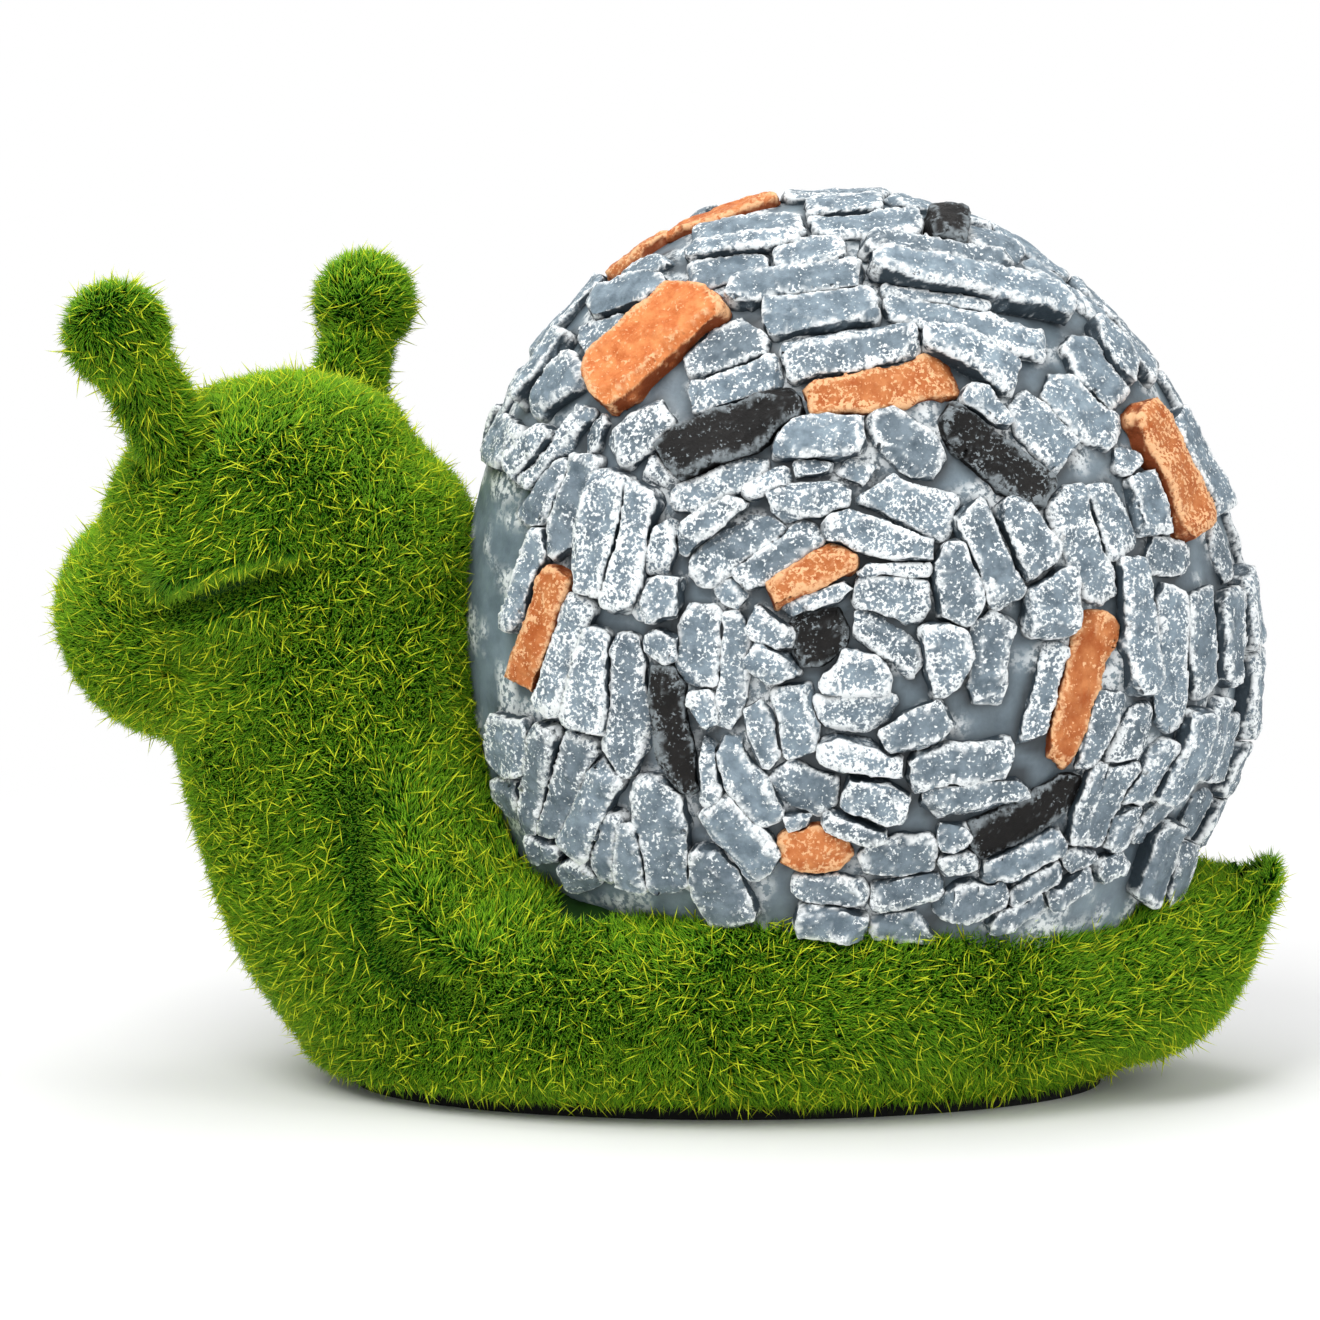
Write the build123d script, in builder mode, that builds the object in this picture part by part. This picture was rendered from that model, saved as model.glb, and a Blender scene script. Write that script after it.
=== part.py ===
"""Garden snail with a slate shell, after one photograph.

The snail faces -X, its photographed side is -Y and it stands on Z = 0.
All lengths are in millimetres.
"""
import bisect
import math
import os
import random

from build123d import *

os.makedirs("parts", exist_ok=True)

# Driving sizes
snail_length = 320.0
body_height = 190.0
foot_width = 132.0
head_width = 92.0
shell_length = 201.0
shell_width = 132.0
shell_height = 237.0
shell_tilt = 12.0

# Layers
pile = 4.0
casting_wall = 5.0
mortar_depth = 4.0
pad_depth = 3.0
pad_margin = 4.0

# Stones
stone_rise = 4.4
mortar_joint = 1.2
edge_run = 10.0
least_edge = 0.6
least_chip = 3.0
crown_width = 14.0
rim_length = 27.0
rim_breadth = 10.0
rim_step = 3.0
seat_margin = 5.0
coat_clearance = 3.2

# Tentacles
tentacle_ball = 20.0
tentacle_stalk = 12.0
tentacle_peg = 7.0
peg_depth = 11.0
peg_clearance = 0.15
root_flare_share = 1.15

# Sections of the foot and flank: height as a share of the body height,
# centre and half length as shares of the snail length, half width as a share of the foot width
flank_shares = (
    (0.000, 0.050, 0.319, 0.380),
    (0.050, 0.047, 0.347, 0.455),
    (0.122, 0.069, 0.350, 0.500),
    (0.196, 0.075, 0.337, 0.478),
    (0.262, 0.081, 0.303, 0.390),
    (0.315, 0.087, 0.238, 0.270),
)
# Sections of the neck: height, centre, half length, half width as a share of the head width
neck_shares = (
    (0.000, -0.125, 0.150, 0.435),
    (0.118, -0.146, 0.186, 0.500),
    (0.250, -0.208, 0.161, 0.490),
    (0.408, -0.256, 0.138, 0.457),
    (0.568, -0.279, 0.135, 0.457),
    (0.726, -0.281, 0.131, 0.413),
)
# Sections of the tail: place along the snail, height of the middle, half height, half width
tail_shares = (
    (0.219, 0.124, 0.116, 0.420),
    (0.313, 0.128, 0.116, 0.350),
    (0.397, 0.134, 0.113, 0.280),
    (0.450, 0.168, 0.098, 0.190),
    (0.483, 0.230, 0.066, 0.110),
    (0.503, 0.275, 0.034, 0.052),
)
# Rounded lumps: middle as shares of length, foot or head width and height, then half sizes
collar_middle_share = (-0.125, 0.0, 0.200)
collar_half_share = (0.140, 0.380, 0.130)
crown_middle_share = (-0.306, 0.0, 0.742)
crown_half_share = (0.156, 0.500, 0.240)
muzzle_middle_share = (-0.387, 0.110, 0.640)
muzzle_half_share = (0.114, 0.390, 0.182)
# Shell middle, seat height, and the tentacles' root and tip
shell_middle_share = (0.153, 0.0, 0.572)
seat_share = 0.165
left_root_share = (-0.362, -0.150, 0.790)
left_tip_share = (-0.430, -0.380, 1.045)
right_root_share = (-0.278, 0.215, 0.800)
right_tip_share = (-0.250, 0.380, 1.065)

# Chips on each side of the shell: both ends of a chip's middle line as shares of the shell's
# half length and half height, then the chip's breadth as a share of the half length
slate_shares = (
    # round the middle
    (0.03, 0.225, 0.19, 0.19, 0.100), (0.02, 0.18, 0.145, 0.06, 0.075), (-0.07, 0.085, 0.06, 0.04, 0.095),
    (0.205, 0.12, 0.21, -0.005, 0.090), (0.275, 0.28, 0.25, 0.125, 0.085), (0.05, 0.28, 0.22, 0.245, 0.045),
    (0.0, 0.375, 0.235, 0.265, 0.070), (-0.23, 0.295, -0.035, 0.365, 0.080),
    (-0.15, 0.222, 0.02, 0.245, 0.035), (-0.225, 0.215, -0.16, 0.15, 0.060),
    (-0.23, 0.16, -0.155, 0.09, 0.080), (-0.26, 0.235, -0.335, 0.015, 0.050),
    (-0.285, 0.265, -0.235, 0.27, 0.055), (-0.262, 0.042, -0.268, -0.08, 0.055),
    (-0.175, 0.075, -0.167, -0.085, 0.070), (-0.12, 0.01, 0.06, -0.02, 0.065),
    (-0.13, -0.068, 0.045, -0.142, 0.050), (0.02, -0.08, 0.18, -0.06, 0.065),
    (-0.35, -0.02, -0.287, -0.198, 0.065), (-0.24, -0.12, -0.115, -0.17, 0.090),
    (-0.08, -0.155, 0.015, -0.248, 0.090), (-0.15, -0.215, -0.02, -0.268, 0.050),
    (0.07, -0.155, 0.305, -0.18, 0.080), (0.095, -0.225, 0.335, -0.235, 0.070),
    (0.33, 0.12, 0.28, -0.045, 0.070), (0.475, 0.02, 0.365, -0.16, 0.065),
    # above the middle
    (0.085, 0.425, 0.28, 0.325, 0.090), (-0.14, 0.44, 0.055, 0.42, 0.075), (0.05, 0.475, 0.13, 0.445, 0.050),
    (-0.05, 0.48, 0.03, 0.483, 0.045), (-0.18, 0.468, -0.07, 0.478, 0.045),
    (-0.33, 0.335, -0.11, 0.41, 0.085), (-0.36, 0.385, -0.19, 0.46, 0.050),
    (-0.33, 0.45, -0.12, 0.505, 0.080), (-0.08, 0.55, 0.12, 0.535, 0.090), (0.16, 0.55, 0.28, 0.43, 0.080),
    (0.335, 0.34, 0.385, 0.145, 0.090), (0.42, 0.33, 0.475, 0.18, 0.085), (0.495, 0.175, 0.47, 0.06, 0.105),
    (0.57, 0.325, 0.615, 0.10, 0.085), (0.38, 0.55, 0.465, 0.475, 0.035), (0.50, 0.515, 0.595, 0.38, 0.075),
    (0.575, 0.53, 0.715, 0.40, 0.070), (0.645, 0.315, 0.685, 0.185, 0.075),
    (0.76, 0.315, 0.765, 0.195, 0.065), (0.71, 0.36, 0.755, 0.335, 0.040),
    (0.315, 0.68, 0.49, 0.557, 0.055), (0.24, 0.757, 0.58, 0.597, 0.055),
    (-0.02, 0.685, 0.29, 0.678, 0.060), (-0.25, 0.655, -0.045, 0.68, 0.065),
    (-0.245, 0.735, -0.06, 0.755, 0.075), (-0.045, 0.78, 0.21, 0.762, 0.060),
    (0.23, 0.793, 0.47, 0.71, 0.030), (0.22, 0.832, 0.655, 0.655, 0.060),
    (-0.11, 0.845, 0.19, 0.825, 0.045), (-0.195, 0.89, 0.0, 0.89, 0.045), (0.01, 0.895, 0.16, 0.888, 0.055),
    (0.21, 0.868, 0.54, 0.765, 0.040), (-0.19, 0.928, 0.06, 0.918, 0.030), (0.11, 0.935, 0.38, 0.89, 0.040),
    (-0.17, 0.955, 0.085, 0.945, 0.040), (0.12, 0.968, 0.28, 0.94, 0.030), (0.47, 0.855, 0.585, 0.785, 0.035),
    (0.615, 0.722, 0.685, 0.678, 0.040), (0.60, 0.765, 0.71, 0.65, 0.030), (0.665, 0.60, 0.74, 0.465, 0.060),
    (0.72, 0.612, 0.79, 0.495, 0.045), (0.785, 0.562, 0.85, 0.487, 0.035),
    # head side
    (-0.475, 0.545, -0.59, 0.325, 0.085), (-0.405, 0.505, -0.53, 0.28, 0.075),
    (-0.37, 0.435, -0.435, 0.34, 0.055), (-0.45, 0.33, -0.487, 0.27, 0.045),
    (-0.395, 0.325, -0.445, 0.245, 0.060), (-0.44, 0.225, -0.457, 0.175, 0.070),
    (-0.525, 0.595, -0.645, 0.405, 0.065), (-0.59, 0.585, -0.705, 0.485, 0.055),
    (-0.50, 0.67, -0.695, 0.55, 0.040), (-0.60, 0.64, -0.725, 0.565, 0.035),
    (-0.468, 0.645, -0.545, 0.605, 0.040), (-0.455, 0.59, -0.325, 0.638, 0.075),
    (-0.395, 0.545, -0.34, 0.52, 0.045), (-0.675, 0.46, -0.79, 0.265, 0.040),
    (-0.70, 0.665, -0.77, 0.595, 0.055), (-0.63, 0.708, -0.495, 0.752, 0.060),
    (-0.655, 0.705, -0.51, 0.815, 0.030), (-0.495, 0.81, -0.375, 0.83, 0.050),
    (-0.44, 0.858, -0.265, 0.888, 0.060), (-0.345, 0.905, -0.24, 0.932, 0.035),
    (-0.62, 0.31, -0.75, 0.10, 0.070), (-0.59, 0.245, -0.672, 0.05, 0.070),
    (-0.53, 0.225, -0.595, -0.05, 0.070), (-0.345, 0.255, -0.39, 0.115, 0.095),
    (-0.388, 0.08, -0.39, 0.01, 0.055), (-0.40, -0.005, -0.42, -0.14, 0.045),
    (-0.54, -0.075, -0.55, -0.31, 0.095), (-0.765, 0.055, -0.865, -0.155, 0.050),
    (-0.68, 0.03, -0.82, -0.17, 0.060), (-0.635, -0.04, -0.755, -0.21, 0.065),
    (-0.65, -0.14, -0.70, -0.265, 0.045), (-0.615, -0.165, -0.64, -0.30, 0.045),
    (-0.87, -0.19, -0.80, -0.215, 0.050), (-0.78, -0.225, -0.752, -0.285, 0.060),
    (-0.85, 0.08, -0.885, -0.035, 0.080), (-0.90, -0.06, -0.915, -0.15, 0.050),
    (-0.61, -0.345, -0.53, -0.392, 0.055), (-0.415, -0.16, -0.317, -0.30, 0.085),
    (-0.455, -0.235, -0.415, -0.405, 0.100),
    # tail side
    (0.865, 0.40, 0.94, 0.19, 0.040), (0.735, 0.175, 0.825, 0.105, 0.060),
    (0.695, 0.155, 0.675, -0.125, 0.060), (0.79, 0.08, 0.73, -0.21, 0.070),
    (0.87, 0.04, 0.835, -0.165, 0.060), (0.935, 0.02, 0.905, -0.165, 0.035),
    (0.93, 0.155, 0.95, 0.05, 0.030), (0.585, -0.105, 0.495, -0.24, 0.055),
    (0.685, -0.155, 0.585, -0.26, 0.060), (0.535, -0.25, 0.455, -0.41, 0.050),
    (0.61, -0.265, 0.505, -0.445, 0.075), (0.725, -0.26, 0.63, -0.38, 0.055),
    (0.81, -0.20, 0.72, -0.39, 0.060), (0.87, -0.20, 0.805, -0.36, 0.045),
    (0.645, -0.39, 0.57, -0.475, 0.050), (0.73, -0.41, 0.655, -0.485, 0.035),
    # below the middle
    (-0.08, -0.32, 0.09, -0.335, 0.080), (0.105, -0.30, 0.165, -0.31, 0.050),
    (0.19, -0.405, 0.41, -0.395, 0.055), (0.07, -0.46, 0.235, -0.455, 0.060),
    (0.25, -0.48, 0.40, -0.47, 0.050), (0.185, -0.52, 0.33, -0.51, 0.045),
    (0.42, -0.465, 0.51, -0.475, 0.050),
    (0.355, -0.515, 0.485, -0.51, 0.050), (0.51, -0.515, 0.60, -0.51, 0.040),
    (-0.255, -0.21, -0.19, -0.212, 0.035), (-0.25, -0.348, -0.105, -0.395, 0.050),
    (-0.075, -0.40, 0.085, -0.405, 0.055), (0.09, -0.368, 0.185, -0.367, 0.035),
    (-0.26, -0.415, -0.11, -0.46, 0.050), (-0.10, -0.462, 0.045, -0.50, 0.050),
    (-0.30, -0.35, -0.275, -0.39, 0.030),
)
terracotta_shares = (
    (-0.47, 0.695, -0.165, 0.840, 0.125), (0.015, 0.605, 0.365, 0.60, 0.075),
    (0.79, 0.43, 0.87, 0.175, 0.065),
    (-0.175, 0.25, 0.03, 0.30, 0.075), (-0.655, 0.375, -0.805, 0.145, 0.080),
    (0.59, 0.055, 0.42, -0.20, 0.085), (-0.26, -0.262, -0.125, -0.285, 0.090),
)
black_shares = (
    (-0.36, 0.555, -0.02, 0.605, 0.095), (0.325, 0.52, 0.515, 0.33, 0.080),
    (-0.06, 0.195, -0.095, 0.095, 0.110), (-0.465, 0.15, -0.46, -0.115, 0.065),
    (0.17, -0.345, 0.485, -0.28, 0.085), (0.385, 0.88, 0.455, 0.85, 0.050),
)
# Ends of the chips along the crown, as shares of a full turn from the tail upward, and
# the two where a terracotta chip starts
crown_shares = (
    -0.050, 0.0, 0.045, 0.080, 0.125, 0.160, 0.200, 0.241, 0.287, 0.316, 0.360, 0.395,
)
crown_terracotta_shares = (0.241, 0.287)
# Rows beside the crown, where the chips above leave room: their number and their ends on that turn
rim_rows = 3
rim_span_shares = (-0.125, 0.365)

# Unevenness of the stones
breadth_share = 1.12
length_share = 1.04
line_share = 0.35
rim_short_share = 0.6
rim_room_share = 0.6
slant_share = 0.12
nip_share = 0.05
rise_shares = (0.68, 0.90, 1.10, 1.34)
course_count = 8
stone_seed = 41

lumps = (
    (collar_middle_share, collar_half_share, foot_width),
    (crown_middle_share, crown_half_share, head_width),
    (muzzle_middle_share, muzzle_half_share, head_width),
)
foot_level = pad_depth
rise = body_height - pad_depth
half_shell = (shell_length / 2, shell_width / 2, shell_height / 2)
shell_middle = Vector(
    shell_middle_share[0] * snail_length, 0, foot_level + shell_middle_share[2] * rise
)
seat_level = foot_level + seat_share * rise


def place(shares, width):
    """A point given as shares of the length, a width and the body's rise."""
    return Vector(shares[0] * snail_length, shares[1] * width, foot_level + shares[2] * rise)


def ellipsoid(middle, halves):
    """A solid ellipsoid round a middle point."""
    with BuildPart() as ball:
        Sphere(radius=halves[0])
    stretched = scale(ball.part, by=(1, halves[1] / halves[0], halves[2] / halves[0]))
    return Pos(*middle) * stretched


def upright_loft(table, width, inset):
    """A loft through level ellipses, drawn in by the inset."""
    with BuildPart() as column:
        for level, middle, half_long, half_wide in table:
            with BuildSketch(Plane.XY.offset(foot_level + level * rise)):
                with Locations((middle * snail_length, 0)):
                    Ellipse(half_long * snail_length - inset, half_wide * width - inset)
        loft()
    return column.part


def tail_loft(inset):
    """The tail, a loft through upright ellipses that rises to the tip."""
    with BuildPart() as tail:
        for along, level, half_high, half_wide in tail_shares:
            shrink = min(inset, half_high * rise / 2)
            upright = Plane(
                origin=(along * snail_length - inset, 0, foot_level + level * rise),
                x_dir=(0, 1, 0),
                z_dir=(1, 0, 0),
            )
            with BuildSketch(upright):
                Ellipse(half_wide * foot_width - shrink, half_high * rise - shrink)
        loft()
    return tail.part


def lump(middle_share, half_share, width, inset):
    """One rounded lump of the body, drawn in by the inset."""
    halves = (
        half_share[0] * snail_length - inset,
        half_share[1] * width - inset,
        half_share[2] * rise - inset,
    )
    return ellipsoid(place(middle_share, width), halves)


def body_form(inset):
    """Foot, flank, neck, head and tail as one solid, drawn in by the inset."""
    masses = [
        upright_loft(flank_shares, foot_width, inset),
        upright_loft(neck_shares, head_width, inset),
        tail_loft(inset),
    ]
    masses += [lump(middle, half, width, inset) for middle, half, width in lumps]
    with BuildPart() as form:
        for mass in masses:
            add(mass)
        split(bisect_by=Plane.XY.offset(foot_level), keep=Keep.TOP)
    return form.part


def shell_form(inset, seat):
    """The shell's dome above its seat, drawn in by the inset."""
    dome = ellipsoid((0, 0, 0), [half - inset for half in half_shell])
    with BuildPart() as form:
        add(Pos(*shell_middle) * Rot(0, -shell_tilt, 0) * dome)
        split(bisect_by=Plane.XY.offset(seat), keep=Keep.TOP)
    return form.part


def tentacle_form(root, tip, inset):
    """A tapered stalk with a round end, from a root inside the head to the tip."""
    axis = tip - root
    ball = tentacle_ball / 2 + pile - inset
    stalk = tentacle_stalk / 2 + pile - inset
    along = Plane(origin=root, z_dir=axis)
    with BuildPart() as form:
        with BuildSketch(along):
            Circle(stalk * root_flare_share)
        with BuildSketch(along.offset(axis.length)):
            Circle(stalk)
        loft()
        with Locations(along.offset(axis.length)):
            Sphere(radius=ball)
    return form.part


def peg_form(root, tip, growth):
    """The peg that seats a tentacle in the head."""
    axis = tip - root
    with BuildPart() as form:
        with BuildSketch(Plane(origin=root - axis.normalized() * peg_depth, z_dir=axis)):
            Circle(tentacle_peg / 2 + growth)
        extrude(amount=peg_depth + axis.length / 2)
    return form.part


# Body
outer_body = body_form(0)
casting_body = body_form(pile)
hollow_body = body_form(pile + casting_wall)
pocket = shell_form(0, seat_level)
pocket_wall = shell_form(-casting_wall, seat_level - casting_wall)

tentacles = (
    ("left", place(left_root_share, head_width), place(left_tip_share, head_width)),
    ("right", place(right_root_share, head_width), place(right_tip_share, head_width)),
)

sockets = [peg_form(root, tip, peg_clearance) for side, root, tip in tentacles]
with BuildPart() as body_casting:
    add(casting_body)
    add(hollow_body - pocket_wall, mode=Mode.SUBTRACT)
    add(pocket, mode=Mode.SUBTRACT)
    for socket in sockets:
        add(socket, mode=Mode.SUBTRACT)
body_casting.part.label = "body_casting"
export_step(body_casting.part, "parts/body_casting.step")

coated = [tentacle_form(root, tip, 0) for side, root, tip in tentacles]
with BuildPart() as body_coat:
    add(outer_body)
    add(casting_body, mode=Mode.SUBTRACT)
    add(pocket, mode=Mode.SUBTRACT)
    for form in coated:
        add(form, mode=Mode.SUBTRACT)
body_coat.part.label = "body_coat"
export_step(body_coat.part, "parts/body_coat.step")

# Tentacles
for side, root, tip in tentacles:
    core = tentacle_form(root, tip, pile)
    covered = tentacle_form(root, tip, 0)
    peg = peg_form(root, tip, 0)
    with BuildPart() as tentacle_casting:
        add(core)
        add(casting_body, mode=Mode.SUBTRACT)
        add(peg)
    tentacle_casting.part.label = f"{side}_tentacle_casting"
    export_step(tentacle_casting.part, f"parts/{side}_tentacle_casting.step")

    with BuildPart() as tentacle_coat:
        add(covered)
        add(core, mode=Mode.SUBTRACT)
        add(casting_body, mode=Mode.SUBTRACT)
    tentacle_coat.part.label = f"{side}_tentacle_coat"
    export_step(tentacle_coat.part, f"parts/{side}_tentacle_coat.step")

# Shell
shell_outside = shell_form(mortar_depth, seat_level)
shell_inside = shell_form(mortar_depth + casting_wall, seat_level)
with BuildPart() as shell_casting:
    add(shell_outside)
    add(shell_inside, mode=Mode.SUBTRACT)
shell_casting.part.label = "shell_casting"
export_step(shell_casting.part, "parts/shell_casting.step")

with BuildPart() as mortar_bed:
    add(pocket)
    add(shell_outside, mode=Mode.SUBTRACT)
mortar_bed.part.label = "mortar_bed"
export_step(mortar_bed.part, "parts/mortar_bed.step")

# Base pad
with BuildPart() as base_pad:
    with BuildSketch():
        with Locations((flank_shares[0][1] * snail_length, 0)):
            Ellipse(
                flank_shares[0][2] * snail_length - pad_margin,
                flank_shares[0][3] * foot_width - pad_margin,
            )
    extrude(amount=pad_depth)
base_pad.part.label = "base_pad"
export_step(base_pad.part, "parts/base_pad.step")

# Stones, laid flat round the middle of each side of the shell and then set on its dome
quarter = math.pi / 2
ring_half = (half_shell[0] + half_shell[2]) / 2
steps = 180
arc_table = [0.0]
for step in range(steps):
    polar = quarter * (step + 0.5) / steps
    stretch = math.hypot(ring_half * math.cos(polar), half_shell[1] * math.sin(polar))
    arc_table.append(arc_table[-1] + stretch * quarter / steps)
arc_length = arc_table[-1]
side_reach = arc_length - crown_width / 2
lean = math.radians(shell_tilt)
chance = random.Random(stone_seed)


def polar_at(arc):
    """The angle from the side's middle that lies a given arc out along the dome."""
    if arc > arc_length:
        return math.pi - polar_at(2 * arc_length - arc)
    step = min(bisect.bisect_left(arc_table, arc), steps)
    if step == 0:
        return 0.0
    part_way = (arc - arc_table[step - 1]) / (arc_table[step] - arc_table[step - 1])
    return quarter * (step - 1 + part_way) / steps


def laid_flat(across, upward):
    """A place seen from the side, moved out to the length of its arc on the dome."""
    seen = min(1, math.hypot(across, upward))
    step = math.asin(seen) / quarter * steps
    low = min(int(step), steps - 1)
    arc = arc_table[low] + (step - low) * (arc_table[low + 1] - arc_table[low])
    return Vector(across, upward).normalized() * arc


def lean_over(across, depth, upward):
    """Turns a direction from the shell's own axes to the snail's."""
    return Vector(
        across * math.cos(lean) - upward * math.sin(lean),
        depth,
        across * math.sin(lean) + upward * math.cos(lean),
    )


def dome_point(flat, side):
    """The point on the mortar of a place laid flat."""
    polar = polar_at(flat.length)
    turn = math.atan2(flat.Y, flat.X)
    return shell_middle + lean_over(
        half_shell[0] * math.sin(polar) * math.cos(turn),
        side * half_shell[1] * math.cos(polar),
        half_shell[2] * math.sin(polar) * math.sin(turn),
    )


def dome_normal(flat, side):
    """The outward direction of the mortar at a place laid flat."""
    polar = polar_at(flat.length)
    turn = math.atan2(flat.Y, flat.X)
    return lean_over(
        math.sin(polar) * math.cos(turn) / half_shell[0],
        side * math.cos(polar) / half_shell[1],
        math.sin(polar) * math.sin(turn) / half_shell[2],
    ).normalized()


def chip_seed(row, slot):
    """One chip of a table before its neighbours trim it."""
    first = Vector(row[0] * half_shell[0], row[1] * half_shell[2])
    last = Vector(row[2] * half_shell[0], row[3] * half_shell[2])
    middle, reach = (first + last) / 2, (last - first) * (length_share / 2)
    first, last = middle - reach, middle + reach
    run = reach.normalized()
    square = Vector(-run.Y, run.X) * (row[4] * breadth_share * half_shell[0] / 2)
    spots = (first - square, last - square, last + square, first + square)
    corners = [laid_flat(spot.X / half_shell[0], spot.Y / half_shell[2]) for spot in spots]
    return seed_of(corners, slot)


def seed_of(corners, slot):
    """Four corners laid flat with the middle line and the half breadth that they give."""
    start, end = (corners[0] + corners[3]) / 2, (corners[1] + corners[2]) / 2
    half = ((corners[3] - corners[0]).length + (corners[2] - corners[1]).length) / 4
    inset = (end - start).normalized() * min(half, (end - start).length * line_share)
    return {"line": (start + inset, end - inset), "half": half, "corners": corners, "slot": slot}


def nearest_places(line, other):
    """The closest places on two middle lines, the first on the first line."""
    choices = []
    for own, theirs in ((line, other), (other, line)):
        run = own[1] - own[0]
        for end in theirs:
            share = min(1, max(0, (end - own[0]).dot(run) / run.dot(run)))
            pair = (own[0] + run * share, end)
            choices.append(pair if own is line else pair[::-1])
    return min(choices, key=lambda pair: (pair[1] - pair[0]).length)


def rim_seeds(seeds):
    """The chips of the rows beside the crown, wherever the others leave room."""
    found = []
    for row in range(rim_rows):
        far = side_reach - mortar_joint / 2 - row * (rim_breadth + mortar_joint)
        near = far - rim_breadth
        turn = 2 * math.pi * rim_span_shares[0]
        while turn < 2 * math.pi * rim_span_shares[1]:
            end = turn + rim_length * chance.uniform(rim_short_share, 1) / far
            seed = seed_of([
                Vector(arc * math.cos(angle), arc * math.sin(angle))
                for arc, angle in ((near, turn), (near, end), (far, end), (far, turn))
            ], "slate")
            room = []
            for other in seeds + found:
                own, theirs = nearest_places(seed["line"], other["line"])
                room.append((theirs - own).length - other["half"])
            if min(room) > seed["half"] * rim_room_share:
                found.append(seed)
                turn = end + mortar_joint / far
            else:
                turn += rim_step / far
    return found


def trimmed(outline, limit, towards):
    """An outline without what lies past a line across the given direction."""
    kept = []
    for first, last in zip(outline, outline[1:] + outline[:1]):
        past, next_past = (first - limit).dot(towards), (last - limit).dot(towards)
        if past <= 0:
            kept.append(first)
        if past * next_past < 0:
            kept.append(first + (last - first) * (past / (past - next_past)))
    return kept


def flat_outline(seed, seeds):
    """A chip's outline laid flat, with a joint between it and each neighbour."""
    outline = seed["corners"]
    for other in seeds:
        if other is seed or not outline:
            continue
        own, theirs = nearest_places(seed["line"], other["line"])
        gap = (theirs - own).length
        towards = (theirs - own).normalized()
        reach = gap * seed["half"] / (seed["half"] + other["half"]) - mortar_joint / 2
        outline = trimmed(outline, own + towards * reach, towards)
    return outline


def section_at(table, value):
    """The sizes of a section part-way along a table of sections, or None beyond its ends."""
    for low, high in zip(table, table[1:]):
        if low[0] <= value <= high[0]:
            part_way = (value - low[0]) / (high[0] - low[0])
            return [first + part_way * (last - first) for first, last in zip(low, high)]
    return None


def in_body(point):
    """Whether a point lies in the coated body or close to it."""
    level = (point.Z - foot_level) / rise
    along = point.X / snail_length
    for table, width in ((flank_shares, foot_width), (neck_shares, head_width)):
        section = section_at(table, level)
        if section:
            across = (point.X - section[1] * snail_length) / (section[2] * snail_length + coat_clearance)
            if math.hypot(across, point.Y / (section[3] * width + coat_clearance)) < 1:
                return True
    section = section_at(tail_shares, along)
    if section:
        upward = (level - section[1]) * rise / (section[2] * rise + coat_clearance)
        if math.hypot(upward, point.Y / (section[3] * foot_width + coat_clearance)) < 1:
            return True
    for middle_share, half_share, width in lumps:
        offset = point - place(middle_share, width)
        reach = Vector(
            offset.X / (half_share[0] * snail_length + coat_clearance),
            offset.Y / (half_share[1] * width + coat_clearance),
            offset.Z / (half_share[2] * rise + coat_clearance),
        )
        if reach.length < 1:
            return True
    return False


def stands_clear(flat, side, normal):
    """Whether a place on a chip's edge keeps off the coat and above the shell's seat."""
    point = dome_point(flat, side)
    if point.Z < seat_level + seat_margin:
        return False
    return not in_body(point) and not in_body(point + normal * stone_rise)


def set_chip(outline, side):
    """A chip set on the dome: its edge, middle, outward direction and share of the full rise.

    Where the coat is in the way, the edge is drawn back to the middle until it stands clear."""
    middle = sum(outline, Vector()) / len(outline)
    normal = dome_normal(middle, side)
    points = []
    for first, last in zip(outline, outline[1:] + outline[:1]):
        pieces = max(1, math.ceil((last - first).length / edge_run))
        for piece in range(pieces):
            spot = first + (last - first) * (piece / pieces)
            back = chance.uniform(0, nip_share)
            while back < 1 and not stands_clear(spot + (middle - spot) * back, side, normal):
                back += nip_share
            points.append(spot + (middle - spot) * min(back, 1))
    points = [
        point for point, before in zip(points, points[-1:] + points[:-1])
        if (point - before).length > least_edge
    ]
    spread = sorted((point - middle).length for point in points)
    if len(points) < 3 or spread[len(spread) // 2] < least_chip:
        return None
    edge = [dome_point(point, side) for point in points]
    return edge, dome_point(middle, side), normal, chance.choice(rise_shares)


def crown_outlines():
    """The chips of the row that runs along the crown, with slanting ends, laid flat."""
    joint = mortar_joint / ring_half / 2
    near, far = side_reach + mortar_joint / 2, 2 * arc_length - side_reach - mortar_joint / 2
    turns = [2 * math.pi * share for share in crown_shares]
    slants = [chance.uniform(-slant_share, slant_share) * crown_width / ring_half for turn in turns]
    outlines = []
    for index, turn in enumerate(turns[:-1]):
        end = turns[index + 1]
        outlines.append([
            Vector(arc * math.cos(angle), arc * math.sin(angle))
            for arc, angle in (
                (near, turn - slants[index] + joint), (near, end - slants[index + 1] - joint),
                (far, end + slants[index + 1] - joint), (far, turn + slants[index] + joint),
            )
        ])
    return outlines


seeds = [chip_seed(row, "slate") for row in slate_shares]
seeds += [chip_seed(row, "terracotta") for row in terracotta_shares]
seeds += [chip_seed(row, "black") for row in black_shares]
seeds += rim_seeds(seeds)
for seed in seeds:
    outline = flat_outline(seed, seeds)
    seed["outline"] = [
        spot.normalized() * min(spot.length, side_reach - mortar_joint / 2) for spot in outline
    ]

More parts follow.
